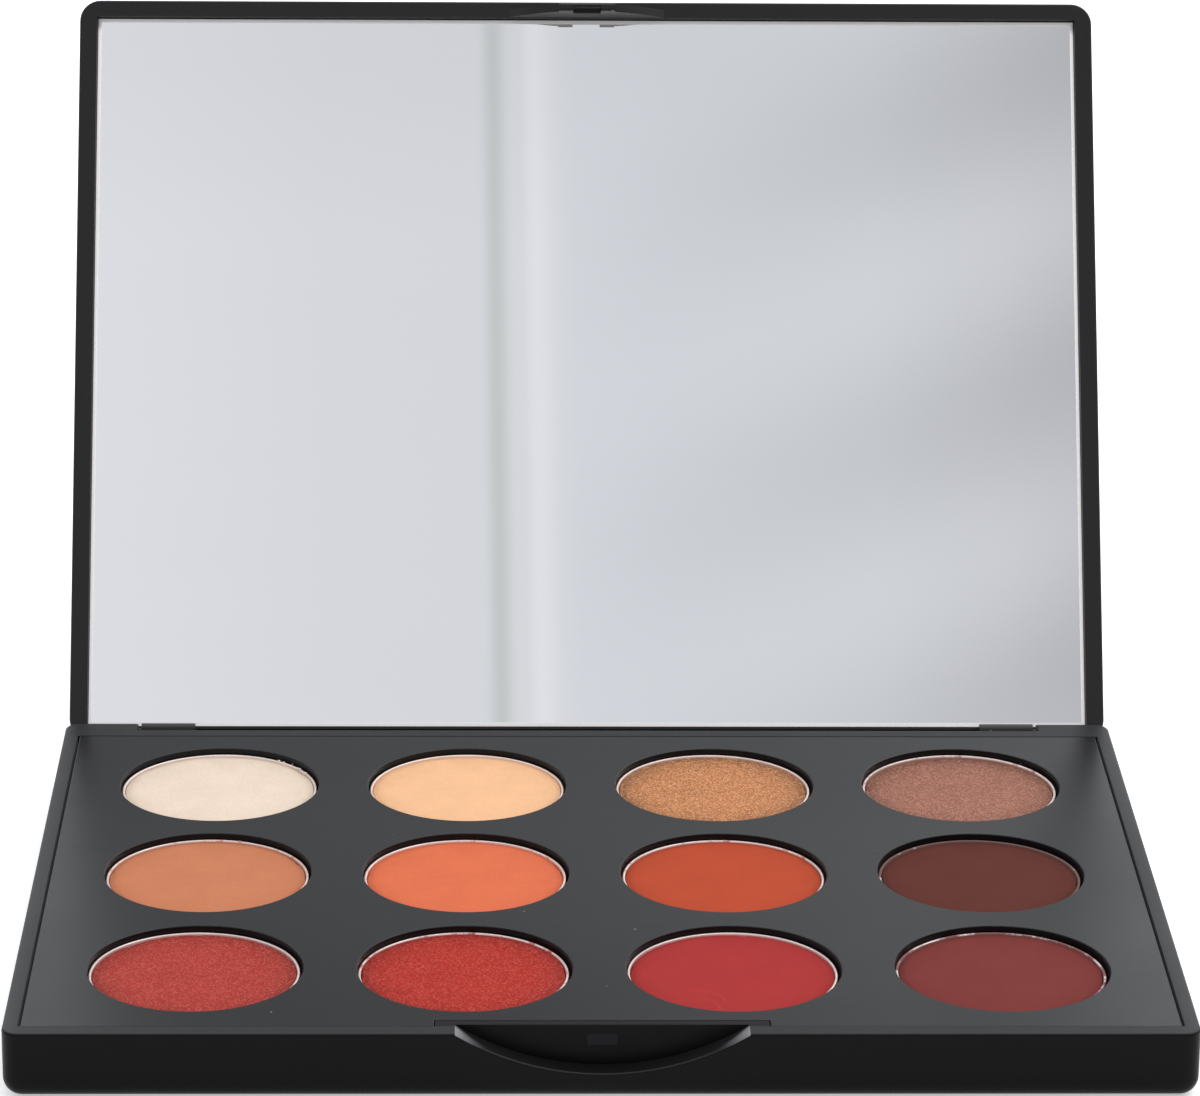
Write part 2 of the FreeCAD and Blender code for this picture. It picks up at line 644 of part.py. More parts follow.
def hinge_pin(side_name, sign):
    """A steel pin: it runs in the lid's knuckle and is pressed into the base."""
    pin = doc.addObject("Part::Cylinder", f"hinge_pin_{side_name}")
    pin.setExpression("Radius", "dims.pin_radius")
    pin.setExpression("Height", "dims.pin_length")
    pin.Placement.Rotation = Rotation(Vector(0, 1, 0), 90 * sign)
    pin.setExpression("Placement.Base.x", f"{sign} * dims.knuckle_start")
    pin.setExpression("Placement.Base.y", "dims.base_depth / 2 - dims.hinge_inset")
    pin.setExpression("Placement.Base.z", "dims.base_height - dims.hinge_drop")
    return pin


# ---------------------------------------------------------------- the whole palette
pieces = [base_shell(), pan_tray(), pan_glue()]
for row_number, row_name in enumerate(ROWS):
    for column_number in range(COLUMNS):
        pieces.append(pan(row_name, column_number, row_number))
        pieces.append(powder(row_name, column_number, row_number))
pieces += [lid_shell(), mirror(), mirror_tape()]
for one_side, direction in SIDES.items():
    pieces.append(hinge_pin(one_side, direction))
doc.recompute()

for item in doc.Objects:
    if "Invalid" in item.State or "Error" in item.State:
        raise RuntimeError(f"{item.Name} failed: {item.State}")
for piece in pieces:
    if piece.Shape.isNull() or not piece.Shape.isValid():
        raise RuntimeError(f"{piece.Label} has no valid shape")
for piece in pieces:
    piece.Shape.exportStep(f"parts/{piece.Label}.step")
    box = piece.Shape.BoundBox
    print(f"{piece.Label:18s} solids {len(piece.Shape.Solids):2d}  volume {piece.Shape.Volume:10.1f}"
          f"  z {box.ZMin:7.2f} to {box.ZMax:7.2f}")
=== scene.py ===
import json
import math
import random

import bmesh
import bpy
from mathutils import Matrix, Vector, noise


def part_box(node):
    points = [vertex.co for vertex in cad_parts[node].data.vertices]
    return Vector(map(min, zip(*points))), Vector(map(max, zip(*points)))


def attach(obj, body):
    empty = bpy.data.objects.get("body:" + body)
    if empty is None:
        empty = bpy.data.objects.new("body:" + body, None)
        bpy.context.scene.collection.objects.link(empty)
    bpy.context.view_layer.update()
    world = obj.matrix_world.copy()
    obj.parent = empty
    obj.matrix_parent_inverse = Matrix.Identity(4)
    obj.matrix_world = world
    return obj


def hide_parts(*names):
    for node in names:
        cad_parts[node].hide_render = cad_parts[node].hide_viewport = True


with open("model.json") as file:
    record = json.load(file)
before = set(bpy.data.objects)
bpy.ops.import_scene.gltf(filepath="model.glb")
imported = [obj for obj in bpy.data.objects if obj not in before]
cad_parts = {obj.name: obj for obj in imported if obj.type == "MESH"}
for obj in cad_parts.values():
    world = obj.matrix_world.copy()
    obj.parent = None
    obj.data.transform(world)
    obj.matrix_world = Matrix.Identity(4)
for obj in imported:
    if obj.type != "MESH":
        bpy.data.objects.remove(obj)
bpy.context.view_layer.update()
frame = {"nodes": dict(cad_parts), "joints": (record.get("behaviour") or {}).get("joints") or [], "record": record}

MM = 0.001
ROWS = ["front", "middle", "back"]
COLUMNS = 4
SLOTS = {part["node"]: part["material_slot"] for part in frame["record"]["subparts"]}

# The lid's own place: laid flat behind the base with its mirror up, then raised to where it
# stands open.
HINGE = frame["joints"][0]
RAISED = math.radians(180 - HINGE["range_deg"][1])
LID = Matrix.Translation(Vector(HINGE["pos_m"])) @ Matrix.Rotation(RAISED, 4, "X")

# Where the thumb scoop and the latch bump on its wall get painted highlights, for the masks
# below: half widths, distances in from the base's front, the scoop's height above the base's
# underside and the bump's two ends below the base's top.
SCOOP_HALF = 18.05 * MM
SCOOP_DEPTH = 2.85 * MM
SCOOP_BOTTOM = 3.0 * MM
BUMP_HALF = 1.85 * MM
BUMP_FRONT = 2.3 * MM
BUMP_ENDS = (1.0 * MM, 2.6 * MM)


# ---------------------------------------------------------------- node helpers
class Nodes:
    """A material and short ways to add nodes to it."""

    def __init__(self, name):
        self.material = bpy.data.materials.new(name)
        self.material.use_nodes = True
        self.tree = self.material.node_tree
        self.shader = self.tree.nodes["Principled BSDF"]
        self.place = self.tree.nodes.new("ShaderNodeTexCoord").outputs["Object"]

    def add(self, kind, inputs=None, **settings):
        node = self.tree.nodes.new("ShaderNode" + kind)
        for name, value in settings.items():
            setattr(node, name, value)
        for name, value in (inputs or {}).items():
            self.put(node.inputs[name], value)
        return node

    def put(self, socket, value):
        if isinstance(value, bpy.types.NodeSocket):
            self.tree.links.new(value, socket)
        else:
            socket.default_value = value

    def set(self, **values):
        """Inputs of the shader; underscores stand for spaces."""
        for name, value in values.items():
            self.put(self.shader.inputs[name.replace("_", " ")], value)

    def noise(self, per_mm, detail=2.0, rough=0.5, place=None):
        return self.add("TexNoise", {"Vector": place or self.place, "Scale": per_mm / MM,
                                     "Detail": detail, "Roughness": rough}).outputs["Fac"]

    def cells(self, per_mm, output):
        return self.add("TexVoronoi", {"Vector": self.place, "Scale": per_mm / MM}).outputs[output]

    def stretched(self, scale, turn=(0.0, 0.0, 0.0)):
        """The place with its axes turned and scaled, for brushed or wiped marks."""
        return self.add("Mapping", {"Vector": self.place, "Rotation": turn,
                                    "Scale": scale}).outputs[0]

    def axes(self):
        """The place as separate X, Y and Z."""
        return self.add("SeparateXYZ", {"Vector": self.place}).outputs

    def facing(self):
        """The surface's direction as separate X, Y and Z."""
        normal = self.add("NewGeometry").outputs["Normal"]
        return self.add("SeparateXYZ", {"Vector": normal}).outputs

    def math(self, operation, first, second=0.0, clamp=False):
        return self.add("Math", {0: first, 1: second}, operation=operation,
                        use_clamp=clamp).outputs[0]

    def above(self, value, limit):
        return self.math("GREATER_THAN", value, limit)

    def below(self, value, limit):
        return self.math("LESS_THAN", value, limit)

    def product(self, *masks):
        total = masks[0]
        for mask in masks[1:]:
            total = self.math("MULTIPLY", total, mask)
        return total

    def apart(self, value, middle):
        """How far a value is from a middle, without its sign."""
        return self.math("ABSOLUTE", self.math("SUBTRACT", value, middle))

    def span(self, value, low, high, to_low=0.0, to_high=1.0):
        return self.add("MapRange", {"Value": value, "From Min": low, "From Max": high,
                                     "To Min": to_low, "To Max": to_high}).outputs[0]

    def mix(self, factor, first, second):
        node = self.tree.nodes.new("ShaderNodeMix")
        node.data_type = "RGBA"
        self.put(node.inputs["Factor"], factor)
        self.put(node.inputs["A"], first)
        self.put(node.inputs["B"], second)
        return node.outputs["Result"]

    def bump(self, height, depth_mm, strength=1.0, normal=None):
        node = self.add("Bump", {"Height": height, "Distance": depth_mm * MM,
                                 "Strength": strength})
        if normal is not None:
            self.put(node.inputs["Normal"], normal)
        return node.outputs["Normal"]

    def attribute(self, name):
        return self.add("Attribute", attribute_name=name).outputs["Fac"]


def rgb(code):
    """A colour written as six hexadecimal digits, as linear RGBA."""
    values = [int(code[i:i + 2], 16) / 255 for i in (0, 2, 4)]
    linear = [v / 12.92 if v <= 0.04045 else ((v + 0.055) / 1.055) ** 2.4 for v in values]
    return (*linear, 1.0)


def shade(colour, amount):
    return (*[min(1.0, channel * amount) for channel in colour[:3]], 1.0)


def blend(first, second, share):
    return tuple(a + (b - a) * share for a, b in zip(first, second))


# ---------------------------------------------------------------- plastic, metal and glass
def side_seam(nodes):
    """1 on the walls of the two shut lines beside the tray, which are made dull and painted near black as painted
    shade, 0 elsewhere.
    """
    low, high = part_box("pan_tray")
    middle = (low + high) / 2
    place = nodes.axes()
    across = nodes.apart(place["X"], 0.0)
    along = nodes.apart(place["Y"], middle.y)
    return nodes.product(nodes.below(place["Z"], high.z - 0.5 * MM),
                         nodes.above(across, high.x - 0.1 * MM),
                         nodes.below(across, high.x + 0.5 * MM),
                         nodes.below(along, high.y - middle.y + 0.3 * MM))


def rim_painted_highlight(nodes):
    """Painted highlight on the base's top border, on its upward faces: fully at the outside of the two sides, half
    elsewhere.
    """
    low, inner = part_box("pan_tray")
    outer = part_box("base_shell")[1]
    middle = (low + inner) / 2
    place = nodes.axes()
    across = nodes.apart(place["X"], 0.0)
    along = nodes.apart(place["Y"], middle.y)
    sides = nodes.product(nodes.span(across, inner.x + 0.4 * MM, outer.x, 0.55, 1.0),
                          nodes.above(across, inner.x))
    ends = nodes.product(nodes.above(along, inner.y - middle.y), 0.5)
    upward = nodes.span(nodes.facing()["Z"], 0.55, 0.95)
    on_top = nodes.above(place["Z"], outer.z - 0.6 * MM)
    return nodes.product(nodes.math("MAXIMUM", sides, ends), upward, on_top)


def scoop_painted_highlight(nodes):
    """Painted highlight on the thumb scoop: lightest at its two ends and along its front edge."""
    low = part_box("base_shell")[0]
    place = nodes.axes()
    facing = nodes.facing()
    across = nodes.apart(place["X"], 0.0)
    inward = nodes.product(nodes.span(facing["Y"], -0.85, -0.75),
                           nodes.below(facing["Z"], 0.985))
    # The crescents are painted light grey as painted highlights.
    # A crescent at each end, 5 mm wide at the front edge and narrowing towards the wall.
    reach = nodes.span(across, 13.2 * MM, 18.4 * MM)
    share = nodes.span(place["Y"], low.y + 0.1 * MM, low.y + 2.9 * MM)
    ends = nodes.span(nodes.math("SUBTRACT", reach, share), -0.1, 0.2)
    ends = nodes.product(ends, reach, reach)
    front_edge = nodes.product(nodes.below(place["Y"], low.y + 0.25 * MM), 0.08)
    return nodes.product(nodes.math("MAXIMUM", ends, front_edge), inward,
                         nodes.below(across, SCOOP_HALF),
                         nodes.below(place["Y"], low.y + SCOOP_DEPTH),
                         nodes.above(place["Z"], low.z + SCOOP_BOTTOM))


def bump_painted_highlight(nodes):
    """Painted highlight on the small latch bump in the thumb scoop: strongest along its edges."""
    low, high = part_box("base_shell")
    place = nodes.axes()
    upper, lower = BUMP_ENDS
    return nodes.product(nodes.span(nodes.facing()["Y"], -0.98, -0.7, 0.4, 1.0),
                         nodes.below(nodes.apart(place["X"], 0.0), BUMP_HALF),
                         nodes.below(place["Y"], low.y + SCOOP_DEPTH - 0.01 * MM),
                         nodes.above(place["Y"], low.y + BUMP_FRONT),
                         nodes.above(place["Z"], high.z - lower),
                         nodes.below(place["Z"], high.z - upper))


def case_plastic(name, code, index, sheen, base_rough, seam=False, painted_highlights=()):
    """Black satin moulded plastic: faint mould texture, fine scuffs and a few dust specks.

    index is its index of refraction, and seam makes the walls of the shut lines dull and
    paints shade on them. The last argument holds masks, each with the lighter colour that it
    paints on the plastic as a painted highlight."""
    nodes = Nodes(name)
    tone = nodes.noise(0.05, 3.0, 0.6)
    body = nodes.mix(tone, shade(rgb(code), 0.8), shade(rgb(code), 1.15))
    seldom = nodes.span(nodes.noise(0.12, 1.0), 0.58, 0.66)
    dust = nodes.product(nodes.below(nodes.cells(0.28, "Distance"), 0.035), seldom)
    colour = nodes.mix(dust, body, rgb("A5A39F"))
    streaks = nodes.stretched((1.0, 14.0, 3.0), (0.3, 0.2, 0.6))
    scuffs = nodes.span(nodes.noise(0.06, 4.0, 0.7, streaks), 0.60, 0.78)
    smudge = nodes.noise(0.025, 3.0, 0.6)
    rough = nodes.span(smudge, 0.3, 0.7, base_rough - 0.04, base_rough + 0.05)
    rough = nodes.math("ADD", rough, nodes.product(scuffs, 0.08), clamp=True)
    # Painted highlights: each mask's place is painted a lighter colour.
    for mask, highlight_colour in painted_highlights:
        colour = nodes.mix(mask(nodes), colour, rgb(highlight_colour))
    if seam:
        # The shut lines' walls are made rougher and painted near black as painted shade.
        dull_and_shaded = side_seam(nodes)
        rough = nodes.math("ADD", rough, dull_and_shaded, clamp=True)
        colour = nodes.mix(dull_and_shaded, colour, rgb("020202"))
    grain = nodes.bump(nodes.noise(4.0, 2.0, 0.6), 0.006, 0.5)
    grain = nodes.bump(dust, 0.03, 0.6, grain)
    nodes.set(Base_Color=colour, Roughness=rough, IOR=index, Specular_IOR_Level=0.5,
              Sheen_Weight=sheen, Sheen_Roughness=0.35, Normal=grain)
    return nodes.material


def mirror_front():
    """The silvered face, with hardly visible wiping marks."""
    nodes = Nodes("mirror_front")
    wiped = nodes.stretched((1.0, 5.0, 1.0), (0.0, 0.0, 0.5))
    film = nodes.span(nodes.noise(0.02, 4.0, 0.6, wiped), 0.45, 0.8)
    nodes.set(Base_Color=nodes.mix(film, rgb("F4F4F6"), rgb("F3F3F5")), Metallic=1.0,
              Roughness=nodes.span(film, 0.0, 1.0, 0.012, 0.018))
    return nodes.material


def mirror_edge(far):
    """Ground edge of the glass, with a painted glow (emission) standing in for the light inside the plate.

    far is the Y of the shaded edge under the lid's lip, which doesn't glow."""
    nodes = Nodes("mirror_edge")
    grind = nodes.noise(3.0, 2.0)
    colour = nodes.mix(grind, rgb("EDE9E9"), rgb("F8F5F5"))
    # Painted glow: emission on the edge, fading out towards the far edge.
    painted_glow = nodes.span(nodes.axes()["Y"], far - 2.0 * MM, far - 1.0 * MM, 0.4, 0.0)
    nodes.set(Base_Color=colour, Metallic=0.0, Roughness=nodes.span(grind, 0, 1, 0.25, 0.45),
              Normal=nodes.bump(grind, 0.01, 0.5), Emission_Color=colour,
              Emission_Strength=painted_glow)
    return nodes.material


def pin_steel():
    """Drawn steel, coloured near black as painted shade for the narrow gaps at the knuckle ends where the pin
    shows; fine lines along the pin.
    """
    nodes = Nodes("pin_steel")
    lines = nodes.noise(12.0, 3.0, 0.6, nodes.stretched((0.05, 1.0, 1.0)))
    nodes.set(Base_Color=nodes.mix(lines, rgb("1E1E20"), rgb("343436")), Metallic=1.0,
              Roughness=nodes.span(lines, 0.3, 0.7, 0.22, 0.36),
              Normal=nodes.bump(lines, 0.004, 0.4))
    return nodes.material


def adhesive_sheet():
    nodes = Nodes("adhesive_sheet")
    fibres = nodes.noise(1.5, 5.0, 0.7)
    nodes.set(Base_Color=nodes.mix(fibres, rgb("D8D6CE"), rgb("EFEDE6")), Roughness=0.8,
              Normal=nodes.bump(fibres, 0.02, 0.5))
    return nodes.material


def glue():
    nodes = Nodes("glue")
    cloud = nodes.noise(0.6, 3.0)
    nodes.set(Base_Color=nodes.mix(cloud, rgb("D5CFBC"), rgb("E4E0D2")),
              Roughness=nodes.span(cloud, 0.3, 0.7, 0.3, 0.45),
              Normal=nodes.bump(cloud, 0.05, 0.5))
    return nodes.material


def pan_tin(name, powder, cover, top):
    """Pressed tin, dusted with the pan's own powder; cover is how much of it is hidden.

    top is the height of the rim: its inside is always powder-coloured further down, which is
    powder dust and also painted shade for the dark line between the rim and the powder."""
    nodes = Nodes(name)
    patches = nodes.noise(0.35, 4.0, 0.65)
    dust = nodes.span(patches, 0.72 - 0.5 * cover, 0.82 - 0.5 * cover)
    clean = max(0.1, 0.5 - 0.9 * cover) * MM
    # Inside the rim: powder dust, and also painted shade under the rim.
    inside_dust_and_shade = nodes.span(nodes.axes()["Z"], top - clean, top - clean - 0.08 * MM)
    dust = nodes.math("MAXIMUM", dust, inside_dust_and_shade)
    grain = nodes.noise(6.0, 2.0)
    metal = nodes.mix(grain, blend(rgb("EAD8D2"), powder, 0.18),
                      blend(rgb("FCF0EC"), powder, 0.18))
    nodes.set(Base_Color=nodes.mix(nodes.product(dust, 0.9), metal, powder),
              Metallic=nodes.span(dust, 0, 1, 0.5, 0.0),
              Roughness=nodes.span(dust, 0, 1, 0.34, 0.85),
              Normal=nodes.bump(nodes.math("ADD", grain, dust), 0.02, 0.4))
    return nodes.material


# ---------------------------------------------------------------- powders
def powder_material(name, code, flakes):
    """Pressed powder. flakes, from 0 to 1, is how much pearl it holds."""
    base = rgb(code)
    nodes = Nodes(name)
    cloud = nodes.noise(0.25, 3.0, 0.6)
    grain = nodes.noise(3.2, 3.0, 0.7)
    # Painted shade from the edge mask: the powder is darker towards its edge and under the pan's rim, more so with
    # pearl.
    gain = nodes.product(nodes.span(cloud, 0.3, 0.7, 0.96, 1.04),
                         nodes.span(grain, 0.3, 0.7, 0.94, 1.06),
                         nodes.span(nodes.attribute("edge"), 0.0, 1.0, 1.0, 0.72 - 0.3 * flakes),
                         nodes.span(nodes.attribute("mark"), 0.0, 1.0, 1.0, 1.18))
    bump = nodes.bump(grain, 0.02, 0.6)
    bump = nodes.bump(cloud, 0.05, 0.3, bump)
    rough = nodes.span(grain, 0.3, 0.7, 0.82, 0.95)
    if flakes:
        flake = nodes.add("SeparateColor", {"Color": nodes.cells(5.4, "Color")}).outputs
        light, tilt = flake[1], flake[2]
        # Flake cells lighter and darker at random: partly the pearl's own uneven colour, partly painted sparkle.
        gain = nodes.product(gain, nodes.span(light, 0.0, 1.0, 1.0 - 0.46 * flakes,
                                              1.0 + 0.3 * flakes))
        bump = nodes.bump(tilt, 0.03, 0.4 * flakes, bump)
        rough = nodes.span(light, 0.0, 1.0, 0.5, 0.7)
    colour = nodes.add("VectorMath", {0: base[:3], "Scale": gain}, operation="SCALE").outputs[0]
    if flakes:
        # Painted glints: the lightest flake cells are painted towards a pale tint of the powder.
        painted_glint = blend(shade(base, 1.4), rgb("F0E4DC"), 0.42)
        colour = nodes.mix(nodes.span(light, 0.55, 1.0, 0.0, 0.3 * flakes), colour, painted_glint)
    nodes.set(Base_Color=colour, Roughness=rough, Normal=bump,
              Metallic=0.3 * flakes, Specular_IOR_Level=0.05, Sheen_Weight=0.02,
              Sheen_Roughness=0.6)
    return nodes.material


# Each powder: colour, pearl, how far it hides its pan's rim, how far it is worn down (mm).
POWDERS = {
    "back_1": ("EAD6C3", 0.08, 0.10, 0.0),
    "back_2": ("F1BD92", 0.0, 0.25, 0.0),
    "back_3": ("C88757", 1.0, 0.20, 0.0),
    "back_4": ("A26C59", 0.8, 0.35, 0.22),
    "middle_1": ("C57C5A", 0.0, 0.35, 0.0),
    "middle_2": ("DB704D", 0.0, 0.30, 0.0),
    "middle_3": ("B74B30", 0.0, 0.35, 0.0),
    "middle_4": ("5F312A", 0.0, 0.85, 0.0),
    "front_1": ("AC352A", 0.6, 0.15, 0.0),
    "front_2": ("B0291B", 0.6, 0.40, 0.0),
    "front_3": ("A73433", 0.0, 0.20, 0.0),
    "front_4": ("793633", 0.0, 0.60, 0.0),
}
SCRATCHED = "powder_front_3"


def disc_mesh(name, radii, segments, point):
    """A mesh of rings about Z. point(ring, angle) gives each place and its masks."""
    mesh = bpy.data.meshes.new(name)
    grid = bmesh.new()
    edge_layer = grid.verts.layers.float.new("edge")
    mark_layer = grid.verts.layers.float.new("mark")
    rings = []
    for ring in range(len(radii)):
        row = []
        for step in range(1 if radii[ring] == 0 else segments):
            place, edge, mark = point(ring, math.tau * step / segments)
            vertex = grid.verts.new(place)
            vertex[edge_layer] = edge
            vertex[mark_layer] = mark
            row.append(vertex)
        rings.append(row)
    for inner, outer in zip(rings, rings[1:]):
        for step in range(segments):
            after = (step + 1) % segments
            corners = [inner[step % len(inner)], outer[step % len(outer)],
                       outer[after % len(outer)], inner[after % len(inner)]]
            grid.faces.new(list(dict.fromkeys(corners)))
    grid.normal_update()
    for face in grid.faces:
        face.smooth = True
    grid.to_mesh(mesh)
    grid.free()
    return mesh


def finish_piece(mesh, place, material, body, node=None):
    """Puts a mesh on a body, in place of a node or with a slot of its own."""
    piece = bpy.data.objects.new(mesh.name, mesh)
    bpy.context.scene.collection.objects.link(piece)
    piece.matrix_world = place
    mesh.materials.append(material)
    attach(piece, body)
    if node:
        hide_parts(node)


def round_box(node):
    """Centre of a round node's box, its radius, and its top and bottom about the centre."""
    low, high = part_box(node)
    centre = (low + high) / 2
    return centre, (high.x - low.x) / 2, high.z - centre.z, low.z - centre.z


def scratch(x, y):
    """Strength of two faint curved fingernail marks at a place on the disc, in millimetres."""
    strength = 0.0
    for centre, bend, middle, half in (((-5.05, -8.8), 3.95, 55, 52),
                                       ((-5.4, -10.5), 3.45, 29, 56)):
        across = Vector((x - centre[0], y - centre[1]))
        away = abs(across.length - bend)
        turn = math.degrees(math.atan2(across.y, across.x))
        along = max(0.0, 1 - abs(turn - middle) / half)
        strength = max(strength, max(0.0, 1 - away / 0.3) * min(1.0, 3 * along))
    return strength


def powder_piece(node, row, column, code, flakes, worn):
    """The pressed disc: an almost flat top, a fine ring near the edge and a chipped edge."""
    centre, radius, top, bottom = round_box(node)
    seed = Vector((row * 7.3, column * 5.1, 2.7))
    # Millimetres: the face's slow waves, its grain and the deepest chips in its edge.
    waves = 0.012
    coarse = 0.006 + 0.022 * flakes
    chipped = 0.35
    flat_steps = 34
    groove = radius - 0.62 * MM
    radii = [groove * step / flat_steps for step in range(flat_steps + 1)]
    # Outside the flat: how far out each ring is and how far it drops; the last is the foot.
    outward = (0.1, 0.2, 0.32, 0.44, 0.52, 0.58, 0.62, 0.62)
    drops = (0.03, 0.035, 0.01, 0.0, 0.02, 0.08, 0.20)
    radii += [groove + step * MM for step in outward]

    def point(ring, angle):
        across = radii[ring]
        at = Vector((across * math.cos(angle), across * math.sin(angle), 0.0)) / MM
        rim = ring - flat_steps - 1
        if rim == len(drops):
            return Vector((at.x * MM, at.y * MM, bottom)), 1.0, 0.0
        chip = max(0.0, noise.noise(at * 0.55 + seed) - 0.18 + 0.1 * flakes)
        height = waves * noise.noise(at * 0.16 + seed)
        height += coarse * noise.noise(at * 1.6 + seed) + 0.5 * coarse * noise.noise(at * 3.1)
        if rim < 0:
            # The edge mask is painted shade, rising near the groove and over the face's outer part.
            edge = max(0.0, min(1.0, (across - groove + 0.5 * MM) / (0.5 * MM))) * 0.15
            edge += (0.2 + 0.5 * flakes) * (across / groove) ** 6
        else:
            height = height * 0.5 - drops[rim] - chipped * chip * (rim > 2)
            # Past the groove, under the pan's rim, the edge mask paints the powder darker as painted shade.
            edge = 0.55 + 0.06 * rim
            at = at * (1 - 0.012 * chip * (rim > 3))
        mark = scratch(at.x, at.y) if node == SCRATCHED else 0.0
        height -= 0.02 * mark
        return Vector((at.x * MM, at.y * MM, top - 0.03 * MM + (height - worn) * MM)), edge, mark

    mesh = disc_mesh(node.replace("powder", "pressed_powder"), radii, 264, point)
    material = powder_material(f"{SLOTS[node]}_powder", code, flakes)
    finish_piece(mesh, Matrix.Translation(centre), material, "base", node)


def pan_piece(node, row, column, powder, cover):
    """The sheet-metal cup, with a softly rolled rim that isn't perfectly even."""
    centre, radius, top, bottom = round_box(node)
    wall = 0.35 * MM
    roll = 0.09 * MM
    inner = radius - wall
    profile = [(0.0, bottom + wall), (inner - 0.3 * MM, bottom + wall),
               (inner, bottom + wall + 0.3 * MM), (inner, top - 2 * roll),
               (inner + 0.3 * roll, top - 0.4 * roll), (inner + roll, top),
               (radius - roll, top), (radius - 0.3 * roll, top - 0.4 * roll),
               (radius, top - 2 * roll), (radius, bottom + 0.4 * MM),
               (radius - 0.12 * MM, bottom + 0.12 * MM), (radius - 0.4 * MM, bottom),
               (0.0, bottom)]
    rolled = range(4, 8)
    phase = random.Random(f"{row}{column}").uniform(0, math.tau)

    def point(ring, angle):
        across, height = profile[ring]
        if ring in rolled:
            height -= 0.03 * MM * (1 + math.sin(3 * angle + phase)) / 2
        return Vector((across * math.cos(angle), across * math.sin(angle), height)), 0, 0

    radii = [across for across, height in profile]
    mesh = disc_mesh(node.replace("pan", "tin_pan"), radii, 192, point)
    material = pan_tin(f"tin_{row}_{column}", powder, cover, top)
    finish_piece(mesh, Matrix.Translation(centre), material, "base", node)


def crumb_mesh(name, places, generator):
    """Loose crumbs of powder: small dented lumps at the given places."""
    mesh = bpy.data.meshes.new(name)
    lumps = bmesh.new()
    for place, size in places:
        made = bmesh.ops.create_icosphere(lumps, subdivisions=2, radius=size)["verts"]
        twist = Matrix.Rotation(generator.uniform(0, math.tau), 3, "Z")
        flat = generator.uniform(0.45, 0.8)
        for vertex in made:
            dent = 1 + 0.35 * noise.noise(vertex.co / size * 1.4 + place * 900)
            spot = twist @ (vertex.co * dent)
            vertex.co = Vector((spot.x * 1.2, spot.y, spot.z * flat)) + place
    for face in lumps.faces:
        face.smooth = True
    lumps.to_mesh(mesh)
    lumps.free()
    return mesh


def crumbs(name, label, turn_from, turn_to, count, code):
    """Crumbs lying on the rim of a pan between two angles, in degrees."""
    centre, radius, top, _ = round_box(f"pan_{label}")
    generator = random.Random(name)
    places = []
    for _ in range(count):
        angle = math.radians(generator.uniform(turn_from, turn_to))
        across = radius + generator.uniform(-0.35, 0.25) * MM
        size = generator.uniform(0.09, 0.2) * MM
        place = centre + Vector((across * math.cos(angle), across * math.sin(angle),
                                 top + 0.4 * size))
        places.append((place, size))
    mesh = crumb_mesh(name, places, generator)
    finish_piece(mesh, Matrix.Identity(4), powder_material(f"{name}_dust", code, 0.0), "base")


# ---------------------------------------------------------------- mirror
def mirror_plate():
    """Glass plate in the lid: silvered face, ground bevel all round and a back."""
    flat = LID.inverted()
    corners = [flat @ vertex.co for vertex in frame["nodes"]["mirror"].data.vertices]
    low = Vector(min(corner[i] for corner in corners) for i in range(3))
    high = Vector(max(corner[i] for corner in corners) for i in range(3))
    # The ground edge: how far it drops and how wide it is at the hinge, the sides and the lip.
    drop = 0.3 * MM
    near, beside, far = 0.55 * MM, 0.5 * MM, 0.65 * MM
    mesh = bpy.data.meshes.new("mirror_plate")
    plate = bmesh.new()
    rings = []
    for share, height in ((0.0, low.z), (0.0, high.z - drop), (0.06, high.z - 0.8 * drop),
                          (0.9, high.z - 0.05 * drop), (1.0, high.z)):
        left, right = low.x + share * beside, high.x - share * beside
        back, front = low.y + share * near, high.y - share * far
        ring = [(left, back), (right, back), (right, front), (left, front)]
        rings.append([plate.verts.new((x, y, height)) for x, y in ring])
    for lower, upper in zip(rings, rings[1:]):
        for side in range(4):
            after = (side + 1) % 4
            bevel = plate.faces.new([lower[side], lower[after], upper[after], upper[side]])
            bevel.material_index = 1
    plate.faces.new(rings[-1])
    plate.faces.new(list(reversed(rings[0]))).material_index = 1
    plate.to_mesh(mesh)
    plate.free()
    finish_piece(mesh, LID, mirror_front(), "lid", "mirror")
    mesh.materials.append(mirror_edge(high.y))


# ---------------------------------------------------------------- dressing the frame
def dress(node, material):
    slots = frame["nodes"][node].data.materials
    slots.clear()
    slots.append(material)


# Painted highlights on the base: its top border, the thumb scoop's ends and the latch bump.
BASE_PAINTED_HIGHLIGHTS = [(rim_painted_highlight, "3D3E40"), (scoop_painted_highlight, "8E8E90"), (bump_painted_highlight, "222226")]
dress("base_shell", case_plastic("base_plastic", "0A090B", 1.175, 0.1, 0.44, True, BASE_PAINTED_HIGHLIGHTS))
dress("pan_tray", case_plastic("tray_plastic", "08090C", 1.312, 0.03, 0.34, True))
dress("lid_shell", case_plastic("lid_plastic", "0A090B", 1.41, 0.03, 0.44))
dress("mirror_tape", adhesive_sheet())
dress("pan_glue", glue())
steel = pin_steel()
for pin in ("hinge_pin_left", "hinge_pin_right"):
    dress(pin, steel)

for row, row_name in enumerate(ROWS):
    for column in range(1, COLUMNS + 1):
        label = f"{row_name}_{column}"
        code, flakes, cover, worn = POWDERS[label]
        powder_piece(f"powder_{label}", row, column, code, flakes, worn)
        pan_piece(f"pan_{label}", row, column, rgb(code), cover)
mirror_plate()
crumbs("crumbs_ivory", "back_1", 20, 62, 6, "F2E4D2")
crumbs("crumbs_orange", "middle_1", 70, 80, 2, "E09060")


